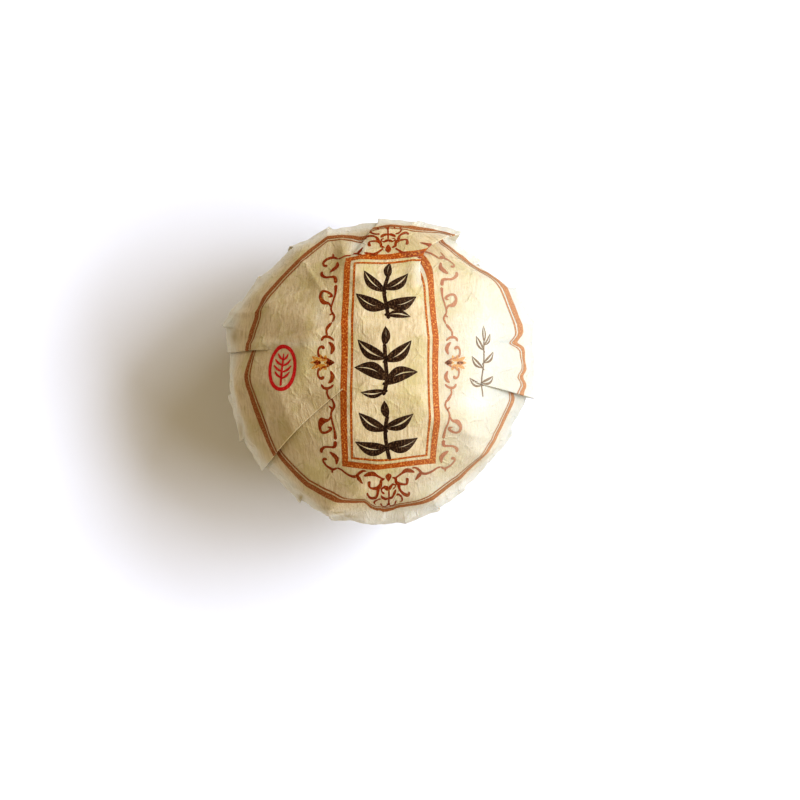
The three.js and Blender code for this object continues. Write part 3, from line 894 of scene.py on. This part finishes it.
def sheet_millimetres(tree, scale=(1, 1, 1)):
    """The place on the sheet in millimetres, times a scale for each axis."""
    place = put(tree, "ShaderNodeUVMap", uv_map="Sheet").outputs[0]
    return vector(tree, "MULTIPLY", place, tuple(SHEET_SIZE * s for s in scale))


def noise(tree, place, scale, detail=2.0, roughness=0.5):
    inputs = {"Vector": place, "Scale": scale, "Detail": detail, "Roughness": roughness}
    return put(tree, "ShaderNodeTexNoise", inputs).outputs[0]


def sway(tree, place, reach):
    """A smooth shift in all directions, so that straight things bend."""
    inputs = {"Vector": place, "Scale": 0.35, "Detail": 2.0}
    shift = put(tree, "ShaderNodeTexNoise", inputs).outputs["Color"]
    return vector(tree, "SCALE", vector(tree, "SUBTRACT", shift, (0.5, 0.5, 0.5)), reach * 2)


def between(tree, value, low, high, to_low=0.0, to_high=1.0):
    inputs = {"Value": value, "From Min": low, "From Max": high, "To Min": to_low, "To Max": to_high}
    return put(tree, "ShaderNodeMapRange", inputs, clamp=True).outputs[0]


def layered(tree, colour, layers):
    """Lays colours over the first one, each as strongly as its factor says."""
    for factor, over in layers:
        node = put(tree, "ShaderNodeMix", data_type="RGBA")
        for index, value in ((0, factor), (6, colour), (7, over)):
            if isinstance(value, bpy.types.NodeSocket):
                tree.links.new(value, node.inputs[index])
            else:
                node.inputs[index].default_value = (*value, 1.0)
        colour = node.outputs[2]
    return colour


def calculate(tree, operation, a, b=0.0, c=0.0):
    return put(tree, "ShaderNodeMath", {0: a, 1: b, 2: c}, operation=operation).outputs[0]


def bumped(tree, height, strength, distance):
    inputs = {"Height": height, "Strength": strength, "Distance": distance}
    return put(tree, "ShaderNodeBump", inputs).outputs[0]


def paper_material(settings):
    """Thin fibrous paper: upright crepe, pale fibres, tea showing through, paler where it lies loose, and
    some patches of painted shade and painted highlights.
    """
    material, tree = new_material("Tea paper")
    place = sheet_millimetres(tree)
    moved = vector(tree, "ADD", place, (37.0, 11.0, 0))
    crepe = noise(tree, sheet_millimetres(tree, (4.2, 0.75, 1)), 1.0, 4.0, 0.65)
    threads = noise(tree, sheet_millimetres(tree, (10.0, 1.5, 1)), 1.0, 2.0, 0.55)
    blotches = noise(tree, place, 0.3, 3.0, 0.55)
    stains = noise(tree, moved, 0.6, 4.0, 0.6)
    dimples = noise(tree, moved, 1.5, 3.0, 0.6)
    grain = noise(tree, place, 9.0, 3.0, 0.6)
    loose, tea, pale, grey = (
        put(tree, "ShaderNodeAttribute", attribute_name=name).outputs["Fac"] for name in TONES)
    tight = calculate(tree, "MULTIPLY_ADD", loose, -0.75, 1.0)
    away = calculate(tree, "ABSOLUTE", calculate(tree, "SUBTRACT", threads, 0.5))
    fibres = between(tree, away, 0.0, 0.018, 0.4, 0.0)
    fibres = calculate(tree, "MULTIPLY", fibres, between(tree, stains, 0.4, 0.6))
    cells = {"Vector": sheet_millimetres(tree, (1.6, 0.7, 1)), "Scale": 1.0}
    flecks = put(tree, "ShaderNodeTexVoronoi", cells).outputs["Distance"]
    flecks = calculate(tree, "MULTIPLY", between(tree, flecks, 0.02, 0.07, 0.4, 0.0), tight)
    broad = calculate(tree, "MULTIPLY", between(tree, blotches, 0.48, 0.66, 0.0, 0.65), tight)
    fine = calculate(tree, "MULTIPLY", between(tree, stains, 0.54, 0.7, 0.0, 0.5), tight)
    # Besides the paper's own tones, the tea and grey patches lay painted shade, the pale ones painted
    # highlights
    colour = layered(tree, settings.paper_colour, [
        (between(tree, crepe, 0.44, 0.68, 0.0, 0.8), settings.streak_colour),
        (between(tree, threads, 0.54, 0.74, 0.0, 0.4), settings.streak_colour),
        (broad, settings.stain_colour), (fine, settings.stain_colour),
        (calculate(tree, "MULTIPLY", loose, 0.8), settings.loose_and_highlight_colour),
        (tea, settings.tea_and_shade_colour), (pale, settings.loose_and_highlight_colour), (grey, settings.grey_and_shade_colour),
        (fibres, settings.fibre_colour), (flecks, FLECK_COLOUR),
    ])
    bent = vector(tree, "ADD", place, sway(tree, place, 0.9))
    folds = put(tree, "ShaderNodeTexVoronoi", {"Vector": bent, "Scale": 0.42}, feature="DISTANCE_TO_EDGE")
    ridge = between(tree, folds.outputs["Distance"], 0.0, 0.07, 1.0, 0.0)
    crinkles = calculate(tree, "MULTIPLY", ridge, between(tree, stains, 0.42, 0.62, 0.0, 0.62))
    height = crinkles
    for layer, share in ((dimples, 0.9), (grain, 0.25), (crepe, 0.6), (threads, 0.35)):
        height = calculate(tree, "MULTIPLY_ADD", layer, share, height)
    surface(tree, {
        "Base Color": colour, "Normal": bumped(tree, height, 0.7, 0.00013),
        "Roughness": between(tree, crepe, 0.3, 0.7, 0.85, 0.68), "Subsurface Weight": 0.15,
        "Subsurface Radius": (1.0, 0.7, 0.4), "Subsurface Scale": 0.0006, "Specular IOR Level": 0.3})
    return material


def ink_material(name, colour, deep, worn, wear, fade=0.3):
    """Ink soaked into the paper: darker and paler along the fibres, broken where the paper shows, and paler
    towards the right of the print, as painted light on the side that the lights shine from."""
    material, tree = new_material(name)
    streaks = noise(tree, sheet_millimetres(tree, (5.5, 1.1, 1)), 1.0, 3.0, 0.65)
    grain = noise(tree, sheet_millimetres(tree, (7.5, 5.5, 1)), 1.0, 2.0, 0.6)
    broken = calculate(tree, "MULTIPLY_ADD", streaks, 0.35, calculate(tree, "MULTIPLY", grain, 0.65))
    right = put(tree, "ShaderNodeSeparateXYZ", {0: sheet_millimetres(tree)}).outputs[0]
    middle = SHEET_SIZE / 2
    shade = layered(tree, colour, [
        (between(tree, streaks, 0.35, 0.65), deep), (between(tree, broken, 0.49, 0.66, 0.0, wear), worn),
        # painted light: paler towards the right of the print, where the lights shine from
        (between(tree, right, middle + 2, middle + 11, 0.0, fade), LIT_SIDE_INK_COLOUR),
    ])
    surface(tree, {
        "Base Color": shade, "Normal": bumped(tree, grain, 0.5, 0.00006), "Roughness": 0.8,
        "Specular IOR Level": 0.08})
    return material


# Geometry Nodes


def node_tree(name, sockets):
    tree = bpy.data.node_groups.new(name, "GeometryNodeTree")
    tree.interface.new_socket(name="Geometry", in_out="OUTPUT", socket_type="NodeSocketGeometry")
    tree.interface.new_socket(name="Geometry", in_out="INPUT", socket_type="NodeSocketGeometry")
    for label, kind in sockets:
        tree.interface.new_socket(name=label, in_out="INPUT", socket_type="NodeSocket" + kind)
    return tree, put(tree, "NodeGroupInput").outputs


def end_tree(tree, geometry, material):
    real = put(tree, "GeometryNodeRealizeInstances", {"Geometry": geometry})
    done = put(tree, "GeometryNodeSetMaterial", {"Geometry": real.outputs[0], "Material": material})
    put(tree, "NodeGroupOutput", {"Geometry": done.outputs[0]})


def named_attribute(tree, name, kind):
    return put(tree, "GeometryNodeInputNamedAttribute", {"Name": name}, data_type=kind).outputs[0]


def noise_4d(tree, place, seed, scale, detail):
    inputs = {"Vector": place, "W": seed, "Scale": scale, "Detail": detail}
    return put(tree, "ShaderNodeTexNoise", inputs, noise_dimensions="4D")


def crumple_tree():
    """Crumples the paper towards and away from the ball's middle: fine creases and small dents."""
    tree, given = node_tree("Crumpled paper", [
        ("Centre", "Vector"), ("Crease Depth", "Float"), ("Dent Depth", "Float"), ("Crease Size", "Float"),
        ("Seed", "Float"), ("Material", "Material")])
    place = put(tree, "GeometryNodeInputPosition").outputs[0]
    outward = vector(tree, "NORMALIZE", vector(tree, "SUBTRACT", place, given["Centre"]))
    wobble = noise_4d(tree, place, given["Seed"], 260.0, 1.0).outputs["Color"]
    moved = vector(tree, "ADD", place, vector(tree, "SCALE", wobble, 0.0016))
    per_size = calculate(tree, "DIVIDE", 1.0, given["Crease Size"])
    cells = put(tree, "ShaderNodeTexVoronoi", {"Vector": moved, "W": given["Seed"], "Scale": per_size},
                voronoi_dimensions="4D", feature="DISTANCE_TO_EDGE")
    crease = between(tree, cells.outputs["Distance"], 0.0, 0.14, 1.0, 0.0)
    dent = calculate(tree, "SUBTRACT", noise_4d(tree, place, given["Seed"], 420.0, 2.0).outputs[0], 0.5)
    loose = named_attribute(tree, "Loose", "FLOAT")
    height = calculate(tree, "MULTIPLY", crease, given["Crease Depth"])
    height = calculate(tree, "MULTIPLY_ADD", dent, given["Dent Depth"], height)
    height = calculate(tree, "MULTIPLY", height, calculate(tree, "MULTIPLY_ADD", loose, 2.6, 0.7))
    z = put(tree, "ShaderNodeSeparateXYZ", {0: place}).outputs[2]
    height = calculate(tree, "MULTIPLY", height, between(tree, z, 0.0015, 0.004))  # the seat stays flat
    offset = vector(tree, "SCALE", outward, height)
    laid = put(tree, "GeometryNodeSetPosition", {"Geometry": given["Geometry"], "Offset": offset})
    end_tree(tree, laid.outputs[0], given["Material"])
    return tree


def printing_tree():
    """Lays flat shapes in sheet coordinates on the folded paper, by the paper's Sheet map."""
    tree, given = node_tree("Printed on the paper", [
        ("Paper", "Object"), ("Sheet Size", "Float"), ("Lift", "Float"), ("Material", "Material")])
    paper = put(tree, "GeometryNodeObjectInfo", {"Object": given["Paper"]}, transform_space="ORIGINAL")
    place = put(tree, "GeometryNodeInputPosition").outputs[0]
    normal = put(tree, "GeometryNodeInputNormal").outputs[0]
    sheet = named_attribute(tree, "Sheet", "FLOAT_VECTOR")
    share = vector(tree, "SCALE", place, calculate(tree, "DIVIDE", 1.0, given["Sheet Size"]))
    middle = vector(tree, "ADD", share, (0.5, 0.5, 0.0))
    there, facing = (
        put(tree, "GeometryNodeSampleUVSurface", {
            "Mesh": paper.outputs["Geometry"], "Value": value, "Source UV Map": sheet, "Sample UV": middle,
        }, data_type="FLOAT_VECTOR") for value in (place, normal))
    laid = vector(tree, "ADD", there.outputs["Value"],
                  vector(tree, "SCALE", facing.outputs["Value"], given["Lift"]))
    missed = put(tree, "FunctionNodeBooleanMath", {0: there.outputs["Is Valid"]}, operation="NOT").outputs[0]
    selected = {"Geometry": given["Geometry"], "Selection": missed}
    kept = put(tree, "GeometryNodeDeleteGeometry", selected, domain="POINT")
    moved = put(tree, "GeometryNodeSetPosition", {"Geometry": kept.outputs[0], "Position": laid})
    end_tree(tree, moved.outputs[0], given["Material"])
    return tree


def run_nodes(piece, tree, inputs):
    """Runs a node tree on a piece and keeps the result as its plain mesh."""
    modifier = piece.modifiers.new(tree.name, "NODES")
    modifier.node_group = tree
    for item in tree.interface.items_tree:
        if item.in_out == "INPUT" and item.name in inputs:
            modifier[item.identifier] = inputs[item.name]
    bpy.context.view_layer.update()
    made = bpy.data.meshes.new_from_object(piece.evaluated_get(bpy.context.evaluated_depsgraph_get()))
    piece.modifiers.clear()
    made.name = piece.name
    piece.data = made
    if not made.polygons:
        raise RuntimeError(f"{piece.name} came out empty")


# Settings


def length(name, description, default):
    return FloatProperty(
        name=name, description=description, default=default, min=0, unit="LENGTH", precision=6)


def colour(name, description, default):
    return FloatVectorProperty(
        name=name, description=description, default=default, subtype="COLOR", size=3, min=0, max=1)


class WrapperSettings(bpy.types.PropertyGroup):
    thickness: length("Paper Thickness", "Thickness that a folded edge of the paper shows", 0.0001)
    overhang: length("Fold Overlap", "How far the paper runs back under a fold", 0.0008)
    crease_depth: length("Crease Height", "Height of the fine creases", 0.00003)
    dent_depth: length("Dent Depth", "Depth of the small dents", 0.00012)
    crease_size: length("Crease Size", "Distance between two fine creases", 0.0032)
    seed: FloatProperty(name="Seed", description="Picks another set of creases and dents", default=3.0)
    paper_colour: colour("Paper", "Colour of the paper", (0.71, 0.585, 0.365))
    streak_colour: colour("Streaks", "Colour of the streaks along the fibres", (0.52, 0.39, 0.2))
    stain_colour: colour("Stains", "Colour where tea has coloured the paper", (0.57, 0.475, 0.2))
    # The next three colours also paint light and shade: loose paper's paints highlights, tea's and grey
    # paper's shade
    loose_and_highlight_colour: colour("Loose Paper", "Colour where no tea lies behind the paper", (0.76, 0.73, 0.61))
    tea_and_shade_colour: colour("Tea", "Colour where the tea shows through the paper", (0.44, 0.33, 0.13))
    grey_and_shade_colour: colour("Grey Paper", "Colour of thin paper that stands off the ball", (0.56, 0.545, 0.45))
    fibre_colour: colour("Fibres", "Colour of the pale fibres in the paper", (0.84, 0.78, 0.64))


class PrintSettings(bpy.types.PropertyGroup):
    lift: length("Ink Lift", "Height of the ink over the paper", 0.000018)
    border_radius: length("Border Radius", "Radius of the round border on the sheet", 0.01514)
    thick_line: length("Thick Line", "Width of the border's outer line", 0.0007)
    frame_line: length("Frame Line", "Width of the frame's outer line", 0.0006)
    thin_line: length("Thin Line", "Width of the thin lines", 0.0002)
    orange: colour("Orange Ink", "Colour of the frame and scrolls", (0.45, 0.125, 0.008))
    orange_deep: colour("Deep Orange Ink", "Colour where the orange ink lies thick", (0.31, 0.04, 0.002))
    gold: colour("Golden Ink", "Colour of the petals in the side ornaments", (0.56, 0.3, 0.045))
    brown: colour("Border Ink", "Colour of the round border", (0.38, 0.14, 0.035))
    red: colour("Red Ink", "Colour of the seal", (0.55, 0.012, 0.012))
    black: colour("Black Ink", "Colour of the sprigs", (0.028, 0.011, 0.004))
    grey: colour("Grey Ink", "Colour of the small sprig", (0.12, 0.09, 0.06))


class StageSettings(bpy.types.PropertyGroup):
    floor_colour: colour("Floor", "Colour of the floor", (0.9, 0.9, 0.9))
    floor_size: length("Floor Size", "Width of the floor", 4.0)
    camera_distance: length("Camera Distance", "From the ball's middle to the camera", 0.8)
    view_width: length("View Width", "Width that the picture takes in at the ball's middle", 0.0709)
    fill: FloatProperty(name="Fill", description="Strength of the light from all sides", default=1.0, min=0)
    key: FloatProperty(name="Key", description="Strength of the lights from the right", default=1.0, min=0)


# Operators


class BuildOperator:
    """What all the operators share"""

    bl_options = {"REGISTER", "UNDO"}


def on_paper(name, flat, material, settings, layer=1.0):
    """Prints flat shapes on the paper as a piece of its own."""
    piece = flat.piece(name)
    tree = bpy.data.node_groups.get("Printed on the paper") or printing_tree()
    run_nodes(piece, tree, {
        "Paper": bpy.data.objects["paper_wrap"], "Sheet Size": SHEET_SIZE * MM,
        "Lift": settings.lift * layer, "Material": material})
    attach(piece, "root")
    return piece


class TEABALL_OT_paper(BuildOperator, bpy.types.Operator):
    """Builds the folded paper wrapper"""

    bl_idname = "teaball.paper"
    bl_label = "Paper Wrapper"

    def execute(self, context):
        settings = context.scene.teaball_wrapper
        mesh = wrapper_mesh("paper_wrap", settings.thickness / MM, settings.overhang / MM)
        piece = bpy.data.objects.new("paper_wrap", mesh)
        context.scene.collection.objects.link(piece)
        run_nodes(piece, crumple_tree(), {
            "Centre": (0, 0, CENTRE_HEIGHT * MM), "Crease Depth": settings.crease_depth,
            "Dent Depth": settings.dent_depth, "Crease Size": settings.crease_size, "Seed": settings.seed,
            "Material": paper_material(settings)})
        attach(piece, "root")
        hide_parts("wrapped_ball")
        return {"FINISHED"}


class TEABALL_OT_borders(BuildOperator, bpy.types.Operator):
    """Prints the round border and the long frame"""

    bl_idname = "teaball.borders"
    bl_label = "Border and Frame"

    def execute(self, context):
        settings = context.scene.teaball_print
        border = border_print(settings.border_radius / MM, settings.thick_line / MM, settings.thin_line / MM)
        long_frame = frame_print(settings.frame_line / MM, settings.thin_line / MM)
        brown = ink_material(
            "Brown border ink", settings.brown, deep=(0.3, 0.085, 0.012), worn=(0.64, 0.4, 0.18), wear=0.8)
        orange = ink_material(
            "Orange frame ink", settings.orange, deep=settings.orange_deep, worn=(0.85, 0.46, 0.12),
            wear=0.9)
        on_paper("print_border", border, brown, settings)
        on_paper("print_frame", long_frame, orange, settings)
        return {"FINISHED"}


class TEABALL_OT_scrolls(BuildOperator, bpy.types.Operator):
    """Prints the ornaments round the frame"""

    bl_idname = "teaball.scrolls"
    bl_label = "Scroll Ornaments"

    def execute(self, context):
        settings = context.scene.teaball_print
        orange = ink_material(
            "Orange scroll ink", settings.orange_deep, deep=(0.22, 0.028, 0.001), worn=(0.62, 0.3, 0.06),
            wear=0.6, fade=0.7)
        gold = ink_material(
            "Golden ink", settings.gold, deep=(0.46, 0.14, 0.01), worn=(0.7, 0.54, 0.24), wear=0.9, fade=0.6)
        on_paper("print_blossoms", blossom_print(), gold, settings, layer=0.5)  # under the scrolls
        on_paper("print_scrolls", scroll_print(), orange, settings)
        return {"FINISHED"}


class TEABALL_OT_sprigs(BuildOperator, bpy.types.Operator):
    """Prints the black sprigs and the small grey one"""

    bl_idname = "teaball.sprigs"
    bl_label = "Ink Sprigs"

    def execute(self, context):
        settings = context.scene.teaball_print
        black = ink_material(
            "Black ink", settings.black, deep=(0.04, 0.012, 0.003), worn=(0.4, 0.25, 0.11), wear=0.42)
        grey = ink_material(
            "Grey ink", settings.grey, deep=(0.08, 0.06, 0.04), worn=(0.5, 0.42, 0.3), wear=0.5)
        on_paper("print_sprigs", ink_sprigs(), black, settings)
        on_paper("print_small_sprig", small_sprig(), grey, settings)
        return {"FINISHED"}


class TEABALL_OT_seal(BuildOperator, bpy.types.Operator):
    """Prints the red oval with a leaf"""

    bl_idname = "teaball.seal"
    bl_label = "Red Seal"

    def execute(self, context):
        settings = context.scene.teaball_print
        red = ink_material(
            "Red ink", settings.red, deep=(0.7, 0.02, 0.02), worn=(0.75, 0.3, 0.2), wear=0.35)
        on_paper("print_seal", red_seal(), red, settings)
        return {"FINISHED"}


# Soft distant lights: azimuth and elevation that each shines from, strength, angle it spreads over.
LIGHTS = [
    ("window_middle", 16, 46, 1.92, 28), ("window_near", -17, 41, 1.36, 26),
    ("window_far", 46, 39, 1.08, 26),
]
LIGHT_COLOUR = (0.86, 0.96, 1.2)
ROOM_COLOUR = (0.49, 0.405, 0.275, 1)
CAMERA_SHIFT = (0.00182, -0.00234)  # the ball lies up and to the left of the picture's middle
SENSOR_WIDTH = 36


def add_light(name, azimuth, elevation, strength, spread):
    light = bpy.data.lights.new(name, "SUN")
    light.energy, light.angle, light.color = strength, math.radians(spread), LIGHT_COLOUR
    lamp = bpy.data.objects.new(name, light)
    lamp.rotation_euler = (math.radians(90 - elevation), 0, math.radians(azimuth + 90))
    lamp.location = (0.3 * math.cos(math.radians(azimuth)), 0.3 * math.sin(math.radians(azimuth)), 0.3)
    bpy.context.scene.collection.objects.link(lamp)


class TEABALL_OT_stage(BuildOperator, bpy.types.Operator):
    """Sets the floor, the lights and the camera"""

    bl_idname = "teaball.stage"
    bl_label = "Stage"

    def execute(self, context):
        settings, scene = context.scene.teaball_stage, context.scene
        half = settings.floor_size / 2
        corners = [(-half, -half, 0), (half, -half, 0), (half, half, 0), (-half, half, 0)]
        mesh = bpy.data.meshes.new("floor")
        mesh.from_pydata(corners, [], [(0, 1, 2, 3)])
        floor = bpy.data.objects.new("floor", mesh)
        scene.collection.objects.link(floor)
        material, tree = new_material("White table")
        grain = noise(tree, put(tree, "ShaderNodeTexCoord").outputs["Object"], 40.0)
        surface(tree, {
            "Base Color": (*settings.floor_colour, 1), "Specular IOR Level": 0.1,
            "Roughness": between(tree, grain, 0.3, 0.7, 0.85, 0.95)})
        mesh.materials.append(material)
        world = bpy.data.worlds.new("Warm room")
        world.use_nodes = True
        background = world.node_tree.nodes["Background"]
        background.inputs["Color"].default_value = ROOM_COLOUR
        background.inputs["Strength"].default_value = settings.fill
        scene.world = world
        for name, azimuth, elevation, strength, spread in LIGHTS:
            add_light(name, azimuth, elevation, strength * settings.key, spread)
        camera = bpy.data.objects.new("camera", bpy.data.cameras.new("camera"))
        scene.collection.objects.link(camera)
        camera.location = (*CAMERA_SHIFT, CENTRE_HEIGHT * MM + settings.camera_distance)
        camera.data.sensor_width = SENSOR_WIDTH
        camera.data.lens = SENSOR_WIDTH * settings.camera_distance / settings.view_width
        camera.data.clip_end = 20
        scene.camera = camera
        scene.view_settings.view_transform = "Standard"
        scene.view_settings.gamma = 0.75
        return {"FINISHED"}


OPERATORS = (
    TEABALL_OT_paper, TEABALL_OT_borders, TEABALL_OT_scrolls, TEABALL_OT_sprigs, TEABALL_OT_seal,
    TEABALL_OT_stage,
)


class TEABALL_PT_panel(bpy.types.Panel):
    bl_label = "Wrapped Tea Ball"
    bl_idname = "TEABALL_PT_panel"
    bl_space_type = "VIEW_3D"
    bl_region_type = "UI"
    bl_category = "Tea Ball"

    def draw(self, context):
        layout = self.layout
        scene = context.scene
        for group in (scene.teaball_wrapper, scene.teaball_print, scene.teaball_stage):
            box = layout.box()
            for name in group.bl_rna.properties.keys():
                if name not in ("rna_type", "name"):
                    box.prop(group, name)
        for operator in OPERATORS:
            layout.operator(operator.bl_idname)


CLASSES = (WrapperSettings, PrintSettings, StageSettings, *OPERATORS, TEABALL_PT_panel)


def register():
    for item in CLASSES:
        bpy.utils.register_class(item)
    bpy.types.Scene.teaball_wrapper = PointerProperty(type=WrapperSettings)
    bpy.types.Scene.teaball_print = PointerProperty(type=PrintSettings)
    bpy.types.Scene.teaball_stage = PointerProperty(type=StageSettings)


def unregister():
    del bpy.types.Scene.teaball_wrapper, bpy.types.Scene.teaball_print, bpy.types.Scene.teaball_stage
    for item in reversed(CLASSES):
        bpy.utils.unregister_class(item)


def main():
    register()
    bpy.ops.teaball.paper()
    bpy.ops.teaball.borders()
    bpy.ops.teaball.scrolls()
    bpy.ops.teaball.sprigs()
    bpy.ops.teaball.seal()
    bpy.ops.teaball.stage()


if __name__ == "__main__":
    main()
